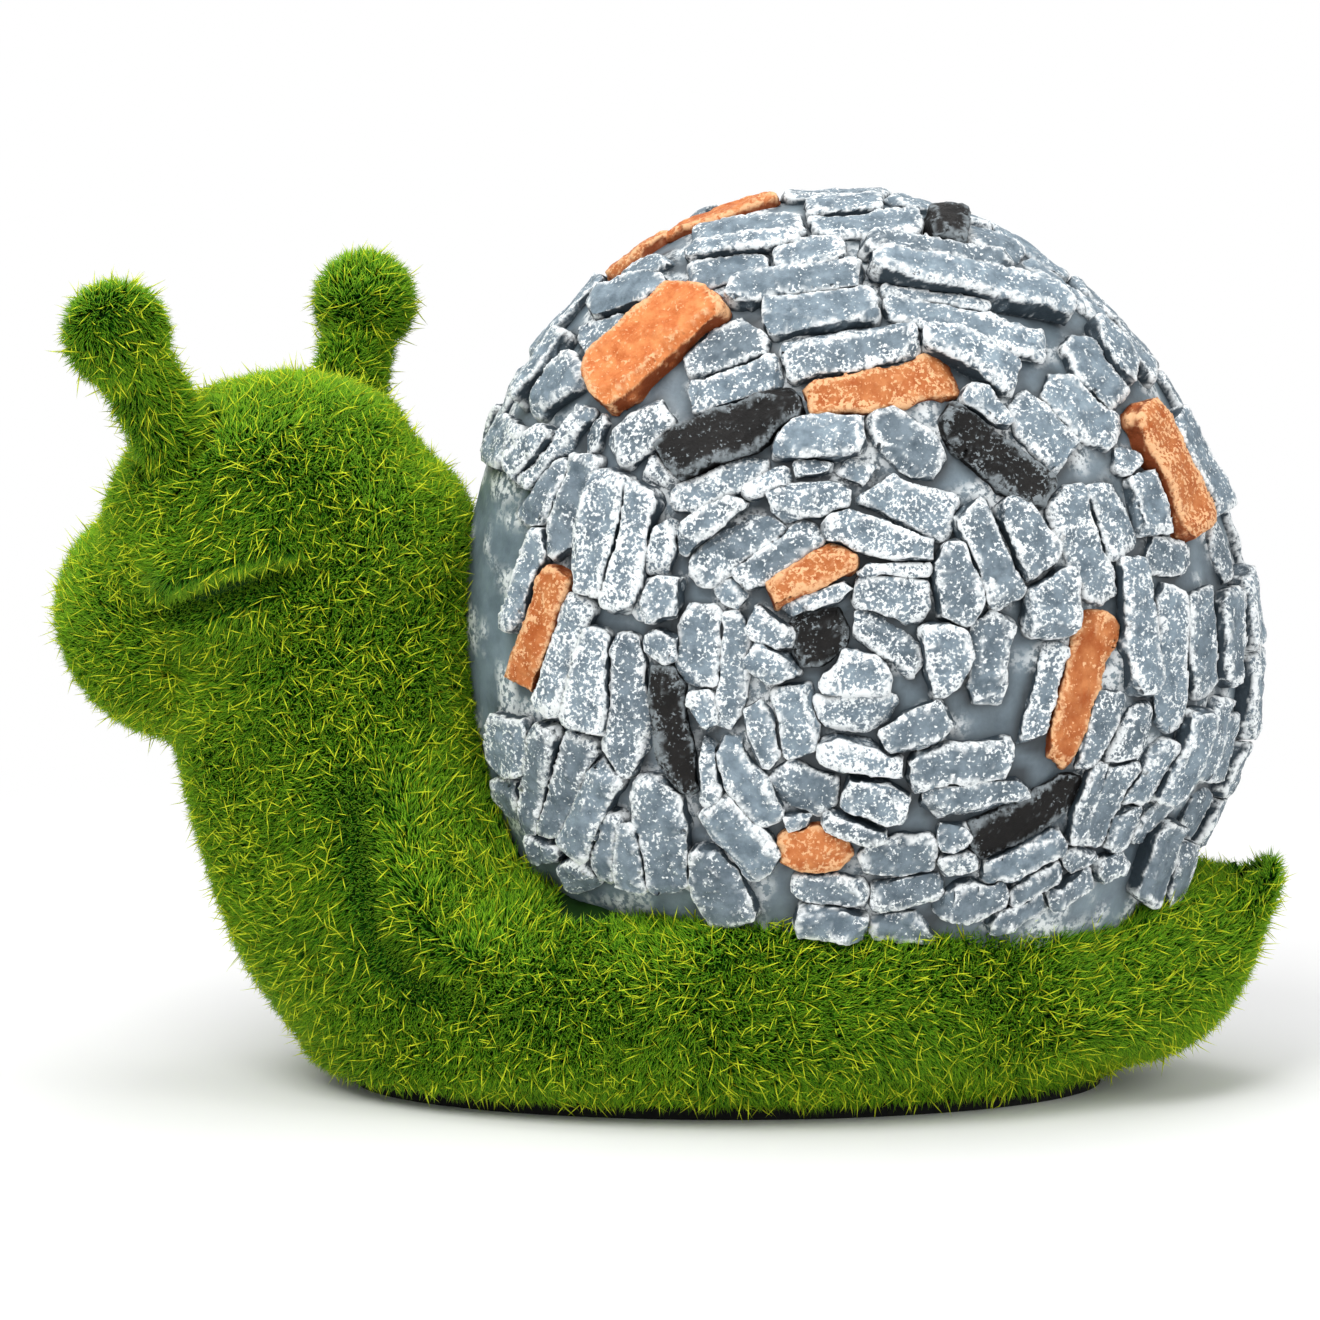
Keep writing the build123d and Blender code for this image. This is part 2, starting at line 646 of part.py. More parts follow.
groups = {"crown_slate_course": [], "terracotta_chips": [], "black_chips": []}
for side_name, side in (("near", -1), ("far", 1)):
    for seed in seeds:
        if len(seed["outline"]) < 3:
            continue
        chip = set_chip(seed["outline"], side)
        if not chip:
            continue
        middle = (seed["line"][0] + seed["line"][1]) / 2
        course = 1 + min(course_count - 1, int(course_count * middle.length / side_reach))
        name = f"{side_name}_slate_course_{course}" if seed["slot"] == "slate" else seed["slot"] + "_chips"
        groups.setdefault(name, []).append(chip)
for start, outline in zip(crown_shares, crown_outlines()):
    chip = set_chip(outline, -1)
    if chip:
        name = "terracotta_chips" if start in crown_terracotta_shares else "crown_slate_course"
        groups[name].append(chip[:3] + (rise_shares[0],))

for name, group in groups.items():
    with BuildPart() as chips:
        for rise_share in rise_shares:
            alike = [chip for chip in group if chip[3] == rise_share]
            for edge, middle, normal, share in alike:
                bed = Plane(origin=middle, z_dir=normal)
                outline = [bed.to_local_coords(point) for point in edge]
                with BuildSketch(bed):
                    with BuildLine():
                        Polyline(*[(point.X, point.Y) for point in outline], close=True)
                    make_face()
            if alike:
                extrude(amount=stone_rise * rise_share, clean=False)
    chips.part.label = name
    export_step(chips.part, f"parts/{name}.step")
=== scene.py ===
"""Garden snail with a pile-coated body and a slate shell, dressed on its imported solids."""
import math

import bpy
import numpy as np
from bpy.props import FloatProperty, FloatVectorProperty, IntProperty, PointerProperty
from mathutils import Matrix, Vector
from mathutils.bvhtree import BVHTree


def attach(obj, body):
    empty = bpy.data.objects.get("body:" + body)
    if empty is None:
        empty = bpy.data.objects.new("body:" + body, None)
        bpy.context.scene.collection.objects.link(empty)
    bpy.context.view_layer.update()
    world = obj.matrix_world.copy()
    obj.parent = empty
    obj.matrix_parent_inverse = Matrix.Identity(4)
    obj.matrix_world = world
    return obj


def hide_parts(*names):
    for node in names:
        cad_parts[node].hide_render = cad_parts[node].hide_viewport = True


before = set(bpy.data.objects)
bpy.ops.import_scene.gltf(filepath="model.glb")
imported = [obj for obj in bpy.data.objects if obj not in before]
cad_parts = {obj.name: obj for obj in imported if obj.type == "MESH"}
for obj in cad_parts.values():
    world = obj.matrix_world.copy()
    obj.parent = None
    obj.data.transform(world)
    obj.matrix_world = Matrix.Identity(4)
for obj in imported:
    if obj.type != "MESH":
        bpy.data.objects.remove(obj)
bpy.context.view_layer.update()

bl_info = {
    "name": "Garden snail",
    "version": (1, 0, 0),
    "blender": (4, 5, 0),
    "location": "3D View > Sidebar > Snail",
    "description": "Dresses the garden snail's solids with pile, mortar and slate chips",
    "category": "Object",
}

MM = 0.001
BODY = "root"
CHIP_NODES = sorted(
    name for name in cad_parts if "slate_course" in name or name.endswith("_chips")
)
# The shell's dome in mm: its middle, half sizes and lean
DOME_MIDDLE = (49.0, 0.0, 110.0)
DOME_HALF = (100.5, 66.0, 118.5)
DOME_LEAN = math.radians(12)
# How far the shell swells from that dome in mm, by degrees round its side from the tail upward
SWELLING = (
    (-180, 0), (-65, 0), (-40, -8.0), (-27, -10.0), (-18, -6.5), (-10, -3.0), (5, -1.8), (20, -0.6),
    (45, 0.8), (75, 1.8), (95, 1.2), (130, 1.4), (150, 0.3), (180, 0),
)
# Creases and swellings of the coat, seen square on from the side: mm along, mm up and mm high
MOUTH = ((-128, 129, 0.2), (-121, 133, 1.0), (-110, 137.5, 1.0), (-98, 141, 0.9), (-84, 142, 0.0))
CHEST = ((-77, 92, 0.1), (-74, 66, 0.7), (-71, 46, 0.8), (-62, 37, 0.8), (-43, 29, 0.1))
FLANK = (
    (-10, 46, 1.0), (15, 45, 3.5), (60, 45, 7.0), (100, 46, 11.5), (122, 47, 13.0), (134, 49, 8.0),
    (145, 54, 3.0), (152, 60, 0.5), (160, 67, 0.0),
)
# Shallow hollows of the head, written the same way
BROW = ((-142, 160, -0.7), (-149, 150, -1.0), (-153, 143, -0.2))
NAPE = ((-71, 177, -0.5), (-63, 174.5, -4.6), (-56, 168, -4.8), (-50, 159, -2.0))
# The mouth's upper lip and dent in mm: height, how soon it rises and how far it reaches
LIP_HEIGHT, LIP_EDGE, LIP_REACH = 8.0, 1.5, 14
MOUTH_DEPTH, MOUTH_DROP, MOUTH_WIDTH, MOUTH_ENDS = 3.2, 1.5, 3.5, 3
# The chest's bank and dent in mm
BANK_HEIGHT, BANK_OFFSET, BANK_WIDTH = 3.2, 9, 7
CHEST_DEPTH, CHEST_WIDTH, CHEST_ENDS = 2.0, 4, 5
# How far in mm the hollows, the flank's lift and the creases' painted shade reach from their paths
HOLLOW_REACH, FLANK_REACH, SHADE_REACH, SHADE_DROP = 10, 12, 4, 2
# Mesh size of the coats' skins and of the castings that follow them
SKIN_VOXEL, CASTING_VOXEL = 1.8 * MM, 2 * MM
# Share of the creases' depth that the casting sinks, and its least room under the glue
SINK_SHARE, GLUE_ROOM = 1.3, 0.3 * MM
# Fibres in one piece, few enough that the export keeps them all
FIBRES_PER_PIECE = 38000
# Splits of each chip: steepest slope off its face, and share of the deepest split
SPLITS = (
    (0.25, 0.4), (0.4, 0.6), (0.8, 0.8), (1.2, 0.9), (2, 0.9), (4, 0.8), (9, 0.7), (9, 0.7),
    (9, 0.9), (9, 0.9),
)
# Heights in mm below and above which the chips take less pale paint as painted shade, with a darker tone
# low down, and the way there
LOW_SHADE_HEIGHT, HIGH_SHADE_HEIGHT, SHADE_FADE = 92, 165, 40
# Lamps: place in m, size in m and power in W
LAMPS = (
    ("key", (-0.50, -0.75, 1.30), 0.8, 13.5),
    ("fill", (1.0, -0.8, 0.8), 0.9, 5.5),
    ("top", (0.05, 0.15, 1.5), 1.0, 8.5),
)
# Floor: half its width, and where it fades from the lit floor to plain white, in m
FLOOR_HALF, FADE_START, FADE_END = 6.0, 0.22, 0.55


def linear(code):
    """An sRGB hex colour as linear red, green, blue and alpha."""
    channels = [int(code[start:start + 2], 16) / 255 for start in (1, 3, 5)]
    low = [value / 12.92 for value in channels]
    high = [((value + 0.055) / 1.055) ** 2.4 for value in channels]
    return [h if value > 0.04045 else l for value, l, h in zip(channels, low, high)] + [1.0]


def colour_property(label, words, code):
    """A colour that a user would change."""
    return FloatVectorProperty(
        name=label, description=words, default=linear(code), size=4, subtype="COLOR", min=0, max=1
    )


class SnailPile(bpy.types.PropertyGroup):
    """Sizes and colours of the green pile."""
    length: FloatProperty(
        name="Fibre length", description="Length of a short fibre", default=4.4 * MM, unit="LENGTH"
    )
    width: FloatProperty(
        name="Fibre width", description="Width of a fibre at its root", default=0.50 * MM,
        unit="LENGTH",
    )
    density: FloatProperty(
        name="Fibres per mm2", description="Short fibres on each square millimetre", default=4.0
    )
    straw_share: FloatProperty(
        name="Long fibre share", description="Share of long pale fibres", default=0.044,
        subtype="FACTOR",
    )
    comb: FloatProperty(
        name="Combing", description="How far neighbouring fibres lean the same way", default=0.55
    )
    stray: FloatProperty(
        name="Straying", description="How far each fibre leans its own way", default=0.50
    )
    seed: IntProperty(name="Seed", description="Seed of the sowing", default=7)
    # The root colour is painted shade: the fibres darken to it low down, where the pile shades itself.
    root_shade_colour: colour_property("Root", "Colour deep in the pile", "#082603")
    dark_colour: colour_property("Dark fibre", "Darkest fibres", "#2f7a0c")
    mid_colour: colour_property("Mid fibre", "Most of the fibres", "#58ac16")
    light_colour: colour_property("Light fibre", "Lighter fibres", "#96d820")
    tip_colour: colour_property("Tip", "Colour that the fibres pale to", "#bfe02c")
    straw_colour: colour_property("Straw fibre", "Long pale fibres", "#eef232")


class SnailShell(bpy.types.PropertyGroup):
    """Sizes and colours of the mortar and the chips."""
    chip_voxel: FloatProperty(
        name="Chip detail", description="Mesh size on the chips", default=0.65 * MM, unit="LENGTH"
    )
    mortar_voxel: FloatProperty(
        name="Mortar detail", description="Mesh size on the mortar", default=1.7 * MM, unit="LENGTH"
    )
    mortar_rise: FloatProperty(
        name="Joint rise", description="How far the mortar fills the joints", default=1.7 * MM,
        unit="LENGTH",
    )
    ragged: FloatProperty(
        name="Raggedness", description="How far the chips' edges wander", default=0.6 * MM,
        unit="LENGTH",
    )
    spread: FloatProperty(
        name="Spread", description="Most that the chips' sides swell into the joints",
        default=3.2 * MM, unit="LENGTH",
    )
    joint: FloatProperty(
        name="Joint", description="Room left between two chips", default=0.5 * MM, unit="LENGTH"
    )
    split: FloatProperty(
        name="Splits", description="Most that a split takes off a chip", default=2.0 * MM,
        unit="LENGTH",
    )
    relief: FloatProperty(
        name="Relief", description="Height of the rough faces", default=0.45 * MM, unit="LENGTH"
    )
    seed: IntProperty(name="Seed", description="Seed of the broken faces", default=3)
    slate_colour: colour_property("Slate", "Grey of the chips", "#8999a4")
    slate_dark: colour_property("Slate hollow", "Grey in the hollows", "#5f6e79")
    # Painted shade down the chips' sides and low on their faces.
    slate_side_shade: colour_property("Slate side", "Wash on the chips' sides", "#343f47")
    brush_colour: colour_property("Dry brush", "Pale paint on the edges", "#f4f8f9")
    mortar_colour: colour_property("Mortar", "Grey of the mortar", "#7d8e98")
    # Painted shade in the joints beside the chips.
    mortar_shade: colour_property("Mortar wash", "Dark wash in the joints", "#323b41")
    terracotta_colour: colour_property("Terracotta", "Fired clay", "#dc8c54")
    terracotta_dark: colour_property("Burnt terracotta", "Darker fired clay", "#b9602d")
    black_colour: colour_property("Black stone", "Black chips", "#1b1918")


class SnailStage(bpy.types.PropertyGroup):
    """The camera and the floor."""
    distance: FloatProperty(
        name="Distance", description="Camera distance", default=1.2, unit="LENGTH"
    )
    frame_width: FloatProperty(
        name="Frame width", description="Width seen at the snail", default=0.3432, unit="LENGTH"
    )
    elevation: FloatProperty(
        name="Elevation", description="Camera height angle", default=math.radians(8), subtype="ANGLE"
    )
    floor_colour: colour_property("Floor", "Plain pale floor", "#f7f7f7")


def arrays(mesh):
    """A mesh's points and triangles as arrays."""
    mesh.calc_loop_triangles()
    points = np.empty(len(mesh.vertices) * 3)
    mesh.vertices.foreach_get("co", points)
    corners = np.empty(len(mesh.loop_triangles) * 3, dtype=np.int64)
    mesh.loop_triangles.foreach_get("vertices", corners)
    return points.reshape(-1, 3), corners.reshape(-1, 3)


def remeshed(name, voxel):
    """A CAD node's shape as an even mesh: its points and triangles."""
    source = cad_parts[name]
    copy = bpy.data.objects.new("remesh", source.data.copy())
    bpy.context.scene.collection.objects.link(copy)
    even = copy.modifiers.new("even", "REMESH")
    even.mode = "VOXEL"
    even.voxel_size = voxel
    settled = copy.evaluated_get(bpy.context.evaluated_depsgraph_get())
    mesh = bpy.data.meshes.new_from_object(settled)
    found = arrays(mesh)
    bpy.data.objects.remove(copy)
    bpy.data.meshes.remove(mesh)
    return found


def new_piece(name, points, faces, material, nodes, values=None, map_points=None, smooth=True):
    """A mesh object that rides on the body and stands for some CAD nodes.

    Faces is a list of arrays with a row per face; values are named numbers for each point, and map_points
    the place of each corner on the map that the pile's colours are read from."""
    mesh = bpy.data.meshes.new(name)
    mesh.vertices.add(len(points))
    mesh.vertices.foreach_set("co", np.ascontiguousarray(points, dtype=np.float32).ravel())
    loops = np.concatenate([block.ravel() for block in faces])
    sizes = np.concatenate([np.full(len(block), block.shape[1]) for block in faces])
    mesh.loops.add(len(loops))
    mesh.loops.foreach_set("vertex_index", loops.astype(np.int32))
    mesh.polygons.add(len(sizes))
    mesh.polygons.foreach_set("loop_start", (np.cumsum(sizes) - sizes).astype(np.int32))
    for label, numbers in (values or {}).items():
        mesh.attributes.new(label, "FLOAT", "POINT")
        mesh.attributes[label].data.foreach_set("value", np.asarray(numbers, dtype=np.float32))
    if map_points is not None:
        layer = mesh.uv_layers.new(name="OFBake")
        layer.data.foreach_set("uv", np.ascontiguousarray(map_points, dtype=np.float32).ravel())
    mesh.update(calc_edges=True)
    mesh.polygons.foreach_set("use_smooth", np.full(len(sizes), smooth))
    piece = bpy.data.objects.new(name, mesh)
    bpy.context.scene.collection.objects.link(piece)
    mesh.materials.append(material)
    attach(piece, BODY)
    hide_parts(*nodes)
    return piece


def grain(points, size, seed):
    """Smooth noise from -1 to 1 with features of the given size."""
    cells = points / size
    base = np.floor(cells).astype(np.int64)
    part = cells - base
    part = part * part * (3 - 2 * part)
    total = np.zeros(len(points))
    for corner in range(8):
        offset = np.array([corner >> axis & 1 for axis in range(3)])
        key = base + offset
        mixed = key[:, 0] * 73856093 ^ key[:, 1] * 19349663 ^ key[:, 2] * 83492791 ^ seed * 26544357
        mixed = (mixed ^ mixed >> 13) * 1274126177 & 0x7FFFFFFF
        mixed = (mixed ^ mixed >> 15) & 0xFFFF
        total += (mixed / 32767.5 - 1) * np.prod(np.where(offset, part, 1 - part), axis=1)
    return total


def dots(first, second):
    """The dot products of the rows of two arrays."""
    return np.einsum("nd,nd->n", first, second)


def areas(points, triangles):
    """The areas of a mesh's triangles."""
    a, b, c = (points[triangles[:, k]] for k in range(3))
    return np.linalg.norm(np.cross(b - a, c - a), axis=1) / 2


def point_normals(points, triangles):
    """Unit directions out of a mesh at its points."""
    a, b, c = (points[triangles[:, k]] for k in range(3))
    across = np.cross(b - a, c - a)
    total = np.zeros_like(points)
    for k in range(3):
        np.add.at(total, triangles[:, k], across)
    return total / np.maximum(np.linalg.norm(total, axis=1, keepdims=True), 1e-12)


def neighbour_mean(points, triangles):
    """The mean place of each point's neighbours."""
    total = np.zeros_like(points)
    count = np.zeros(len(points))
    for k in range(3):
        for other in (1, 2):
            np.add.at(total, triangles[:, k], points[triangles[:, (k + other) % 3]])
            np.add.at(count, triangles[:, k], 1)
    return total / np.maximum(count, 1)[:, None]


def tree_of(name):
    """A search tree over a CAD node's surface."""
    points, triangles = arrays(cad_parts[name].data)
    return BVHTree.FromPolygons(points.tolist(), triangles.tolist())


def joined(names):
    """Several CAD nodes' points and triangles as two lists."""
    points, triangles, shift = [], [], 0
    for name in names:
        own, faces = arrays(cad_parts[name].data)
        points += own.tolist()
        triangles += (faces + shift).tolist()
        shift += len(own)
    return points, triangles


def add_node(tree, kind, inputs=None, **settings):
    """Adds a node with its settings, and its inputs linked or set."""
    made = tree.nodes.new(kind)
    for label, value in settings.items():
        setattr(made, label, value)
    for label, value in (inputs or {}).items():
        if isinstance(value, bpy.types.NodeSocket):
            tree.links.new(value, made.inputs[label])
        else:
            made.inputs[label].default_value = value
    return made


def new_material(name):
    """An empty node material: its tree and its surface shader."""
    material = bpy.data.materials.new(name)
    material.use_nodes = True
    tree = material.node_tree
    tree.nodes.clear()
    shader = add_node(tree, "ShaderNodeBsdfPrincipled")
    add_node(tree, "ShaderNodeOutputMaterial", {"Surface": shader.outputs["BSDF"]})
    return material, tree, shader


def blend_colours(tree, share, first, second, kind="MIX"):
    """Mixes two colours by a share and gives the result's socket."""
    made = add_node(tree, "ShaderNodeMix", data_type="RGBA", blend_type=kind)
    for socket, value in ((0, share), (6, first), (7, second)):
        if isinstance(value, bpy.types.NodeSocket):
            tree.links.new(value, made.inputs[socket])
        else:
            made.inputs[socket].default_value = value
    return made.outputs[2]


def speckle(tree, size, detail, low, high):
    """Noise with grains of a real size, stretched between two levels."""
    place = add_node(tree, "ShaderNodeTexCoord")
    noise = add_node(
        tree, "ShaderNodeTexNoise",
        {"Vector": place.outputs["Object"], "Scale": 1 / size, "Detail": detail, "Roughness": 0.6},
    )
    levels = add_node(
        tree, "ShaderNodeMapRange",
        {"Value": noise.outputs["Fac"], "From Min": low, "From Max": high},
    )
    return levels.outputs["Result"]


def pile_material(pile):
    """Nylon pile, cut short and shot upright into glue: each fibre is one dyed green that
    pales to its tip and darkens to painted shade at its root, with a soft sheen and deep shade between
    the fibres."""
    material, tree, shader = new_material("dyed nylon pile")
    place = add_node(tree, "ShaderNodeUVMap", uv_map="OFBake")
    axes = add_node(tree, "ShaderNodeSeparateXYZ", {"Vector": place.outputs["UV"]})
    shades = add_node(tree, "ShaderNodeValToRGB", {"Fac": axes.outputs["X"]})
    ramp = shades.color_ramp
    stops = (
        (0.0, pile.dark_colour), (0.45, pile.mid_colour),
        (0.74, pile.light_colour), (0.86, pile.straw_colour),
    )
    while len(ramp.elements) < len(stops):
        ramp.elements.new(1)
    for element, (at, shade) in zip(ramp.elements, stops):
        element.position = at
        element.color = shade
    # Painted shade: each fibre darkens to the root colour towards its root.
    up = add_node(
        tree, "ShaderNodeMapRange", {"Value": axes.outputs["Y"], "From Min": 0.0, "From Max": 0.82}
    )
    tip = add_node(
        tree, "ShaderNodeMapRange",
        {"Value": axes.outputs["Y"], "From Min": 0.45, "From Max": 1.0, "To Max": 0.6},
    )
    tipped = blend_colours(tree, tip.outputs["Result"], shades.outputs["Color"], pile.tip_colour)
    colour = blend_colours(tree, up.outputs["Result"], pile.root_shade_colour, tipped)
    tree.links.new(colour, shader.inputs["Base Color"])
    shader.inputs["Roughness"].default_value = 0.6
    shader.inputs["Specular IOR Level"].default_value = 0.15
    return material


def backing_material(pile):
    """Green glue under the pile, brushed on unevenly: dark, as it takes the painted shade of the fibres'
    roots.
    """
    material, tree, shader = new_material("brushed green glue")
    uneven = speckle(tree, 3 * MM, 3, 0.3, 0.7)
    colour = blend_colours(tree, uneven, pile.root_shade_colour, pile.dark_colour)
    tree.links.new(colour, shader.inputs["Base Color"])
    shader.inputs["Roughness"].default_value = 0.9
    shader.inputs["Specular IOR Level"].default_value = 0.1
    return material


def chip_material(name, base, hollow, side, brush, cover):
    """A split stone chip, dry brushed: dark down its sides and low on its face as painted shade, with
    pale paint mottled over its face and caught on its edges."""
    material, tree, shader = new_material(name)
    # A random tone for each chip, made darker low on the shell as painted shade.
    tone_and_shade = add_node(tree, "ShaderNodeAttribute", attribute_name="tone_and_shade")
    ridge = add_node(tree, "ShaderNodeAttribute", attribute_name="ridge")
    face = add_node(tree, "ShaderNodeAttribute", attribute_name="face")
    colour = blend_colours(tree, speckle(tree, 4 * MM, 5, 0.35, 0.65), hollow, base)
    tones = add_node(
        tree, "ShaderNodeMapRange", {"Value": tone_and_shade.outputs["Fac"], "To Min": 0.80, "To Max": 1.18}
    )
    toned = blend_colours(tree, 1.0, colour, tones.outputs["Result"], "MULTIPLY")
    # Painted shade: the side colour covers the chips' sides and low parts, where the face mask is low.
    shade_painted = blend_colours(tree, face.outputs["Fac"], side, toned)
    patches = speckle(tree, 5 * MM, 2, 0.2, 0.8)
    fine = speckle(tree, 0.9 * MM, 6, 0.0, 1.0)
    mixed = add_node(
        tree, "ShaderNodeMath", {0: patches, 1: 0.22, 2: fine}, operation="MULTIPLY_ADD"
    )
    paint = add_node(tree, "ShaderNodeAttribute", attribute_name="paint")
    mixed = add_node(
        tree, "ShaderNodeMath", {0: mixed.outputs[0], 1: paint.outputs["Fac"]}, operation="ADD"
    )
    mottle = add_node(
        tree, "ShaderNodeMapRange",
        {"Value": mixed.outputs[0], "From Min": 0.83 - 0.2 * cover, "From Max": 0.88 - 0.2 * cover},
    )
    faced = add_node(
        tree, "ShaderNodeMath",
        {0: mottle.outputs["Result"], 1: face.outputs["Fac"]}, operation="MULTIPLY",
    )
    pores = speckle(tree, 1.8 * MM, 4, 0.36, 0.52)
    caught = add_node(
        tree, "ShaderNodeMath", {0: ridge.outputs["Fac"], 1: pores}, operation="MULTIPLY"
    )
    both = add_node(
        tree, "ShaderNodeMath", {0: caught.outputs[0], 1: faced.outputs[0]}, operation="MAXIMUM"
    )
    painted = blend_colours(tree, both.outputs[0], shade_painted, brush)
    tree.links.new(painted, shader.inputs["Base Color"])
    rough = speckle(tree, 0.9 * MM, 4, 0.3, 0.7)
    bump = add_node(
        tree, "ShaderNodeBump", {"Height": rough, "Distance": 0.3 * MM, "Strength": 0.5}
    )
    tree.links.new(bump.outputs["Normal"], shader.inputs["Normal"])
    shader.inputs["Roughness"].default_value = 0.6
    shader.inputs["Specular IOR Level"].default_value = 0.2
    return material


def mortar_material(shell):
    """Grey mortar, trowelled and sealed: smooth, under a thin satin paint, with painted shade
    beside the chips and some of their pale paint brushed over it."""
    material, tree, shader = new_material("painted mortar")
    deep = add_node(tree, "ShaderNodeAttribute", attribute_name="deep")
    patches = speckle(tree, 9 * MM, 4, 0.30, 0.62)
    colour = blend_colours(tree, patches, shell.slate_dark, shell.mortar_colour)
    # Painted shade: the mortar darkens where it meets the chips.
    shade_painted = blend_colours(tree, deep.outputs["Fac"], colour, shell.mortar_shade)
    ridge = add_node(tree, "ShaderNodeAttribute", attribute_name="ridge")
    flecks = speckle(tree, 1.6 * MM, 5, 0.44, 0.54)
    smears = add_node(
        tree, "ShaderNodeMath", {0: ridge.outputs["Fac"], 1: flecks}, operation="MULTIPLY"
    )
    smeared = blend_colours(tree, smears.outputs[0], shade_painted, shell.brush_colour)
    tree.links.new(smeared, shader.inputs["Base Color"])
    sand = speckle(tree, 1.2 * MM, 3, 0.3, 0.7)
    bump = add_node(tree, "ShaderNodeBump", {"Height": sand, "Distance": 0.2 * MM, "Strength": 0.3})
    tree.links.new(bump.outputs["Normal"], shader.inputs["Normal"])
    shader.inputs["Roughness"].default_value = 0.42
    return material


def plain_material(name, first, second, size, roughness):
    """A moulded surface whose colour varies a little over patches of a real size."""
    material, tree, shader = new_material(name)
    colour = blend_colours(tree, speckle(tree, size, 3, 0.35, 0.65), linear(first), linear(second))
    tree.links.new(colour, shader.inputs["Base Color"])
    shader.inputs["Roughness"].default_value = roughness
    shader.inputs["Specular IOR Level"].default_value = 0.2
    return material


def from_path(points, path):
    """How far points lie above a path on the snail's side, how far from it, and its height there."""
    flat = points[:, [0, 2]] / MM
    apart = np.full(len(points), np.inf)
    above, height = np.zeros(len(points)), np.zeros(len(points))
    for first, last in zip(path, path[1:]):
        start, run = np.array(first[:2]), np.subtract(last[:2], first[:2])
        share = np.clip((flat - start) @ run / (run @ run), 0, 1)
        offset = flat - start - share[:, None] * run
        distance = np.linalg.norm(offset, axis=1)
        closer = distance < apart
        apart = np.where(closer, distance, apart)
        side = (offset @ (-run[1], run[0])) / np.linalg.norm(run)
        above = np.where(closer, side, above)
        height = np.where(closer, first[2] + share * (last[2] - first[2]), height)
    return above, apart, height


def coat_relief(points):
    """How far the body's coat swells or sinks from its plain form."""
    above, apart, height = from_path(points, MOUTH)
    ends = np.exp(-np.maximum(apart - np.abs(above), 0) / MOUTH_ENDS)
    lip = LIP_HEIGHT * (1 - np.exp(-above / LIP_EDGE)) * np.exp(-(above / LIP_REACH) ** 2)
    lip = np.where(above > 0, lip, 0)
    dent = MOUTH_DEPTH * np.exp(-((above + MOUTH_DROP) / MOUTH_WIDTH) ** 2)
    relief = height * ends * (lip - dent)
    above, apart, height = from_path(points, CHEST)
    ends = np.exp(-np.maximum(apart - np.abs(above), 0) / CHEST_ENDS)
    bank = BANK_HEIGHT * np.exp(-((above - BANK_OFFSET) / BANK_WIDTH) ** 2)
    dent = CHEST_DEPTH * np.exp(-(above / CHEST_WIDTH) ** 2)
    relief += height * ends * (bank - dent)
    for path in (BROW, NAPE):
        _, apart, height = from_path(points, path)
        relief += height * np.exp(-(apart / HOLLOW_REACH) ** 2)
    return relief * MM


def flank_lift(points):
    """How far the coat's edge climbs up the shell towards the tail."""
    _, apart, height = from_path(points, FLANK)
    return height * MM * np.exp(-(apart / FLANK_REACH) ** 2)


def in_crease(points):
    """How deep points lie in the creases of the coat, from 0 to 1; the pile uses it for shorter fibres
    and painted shade there.
    """
    deep = np.zeros(len(points))
    for path in (MOUTH, CHEST):
        above, apart, height = from_path(points, path)
        beyond = np.maximum(apart - np.abs(above), 0) + np.abs(above + SHADE_DROP)
        shade = np.minimum(1, height * 1.2) * np.exp(-(beyond / SHADE_REACH) ** 2)
        deep = np.maximum(deep, shade)
    return deep


def coat_skin(coat, casting, depth):
    """The outer face of a coat as points, triangles and directions, evened where lumps meet."""
    points, triangles = remeshed(coat, SKIN_VOXEL)
    inner = tree_of(casting)
    reach = np.array([inner.find_nearest(Vector(p))[3] for p in points])
    triangles = triangles[(reach[triangles] > depth).all(axis=1)]
    used = np.unique(triangles)
    back = np.full(len(points), -1)
    back[used] = np.arange(len(used))
    points, triangles = points[used], back[triangles]
    edges = np.sort(np.concatenate([triangles[:, [k, (k + 1) % 3]] for k in range(3)]), axis=1)
    pairs, count = np.unique(edges, axis=0, return_counts=True)
    rim = np.zeros(len(points), dtype=bool)
    rim[pairs[count == 1]] = True
    for pull in (0.62, -0.64) * 24:
        moved = neighbour_mean(points, triangles)
        points = np.where(rim[:, None], points, points + pull * (moved - points))
    normals = point_normals(points, triangles)
    if coat == "body_coat":
        points = points + normals * coat_relief(points)[:, None]
        lift = flank_lift(points)[:, None]
        points = points + normals * lift * 0.4 + lift * (0, 0, 1)
        normals = point_normals(points, triangles)
    return points, triangles, normals


def sown(points, triangles, normals, count, chance):
    """Places scattered evenly on a skin, and the directions out of it there."""
    area = areas(points, triangles)
    pick = chance.choice(len(triangles), count, p=area / area.sum())
    weights = chance.dirichlet((1, 1, 1), count)
    root = np.einsum("nk,nkd->nd", weights, points[triangles[pick]])
    out = np.einsum("nk,nkd->nd", weights, normals[triangles[pick]])
    return root, out / np.linalg.norm(out, axis=1, keepdims=True)


def leaning(root, out, comb, stray, chance, seed):
    """Fibre directions: partly combed with their neighbours and partly each its own way."""
    combed = np.stack([grain(root, 22 * MM, seed + k) for k in range(3)], axis=1)
    own = chance.normal(size=root.shape)
    lean = combed * comb * 2.2 + own * stray
    lean[:, 2] -= np.clip((11 * MM - root[:, 2]) / (8 * MM), 0, 1)
    lean -= out * dots(lean, out)[:, None]
    along = out + lean
    return along / np.linalg.norm(along, axis=1, keepdims=True)


def ring_round(along, thick):
    """Three offsets round a fibre."""
    across = np.cross(along, (0.31, 0.77, 0.56))
    across /= np.linalg.norm(across, axis=1, keepdims=True)
    third = np.cross(along, across)
    return [
        (across * math.cos(turn) + third * math.sin(turn)) * thick[:, None]
        for turn in (0, 2 * math.pi / 3, 4 * math.pi / 3)
    ]


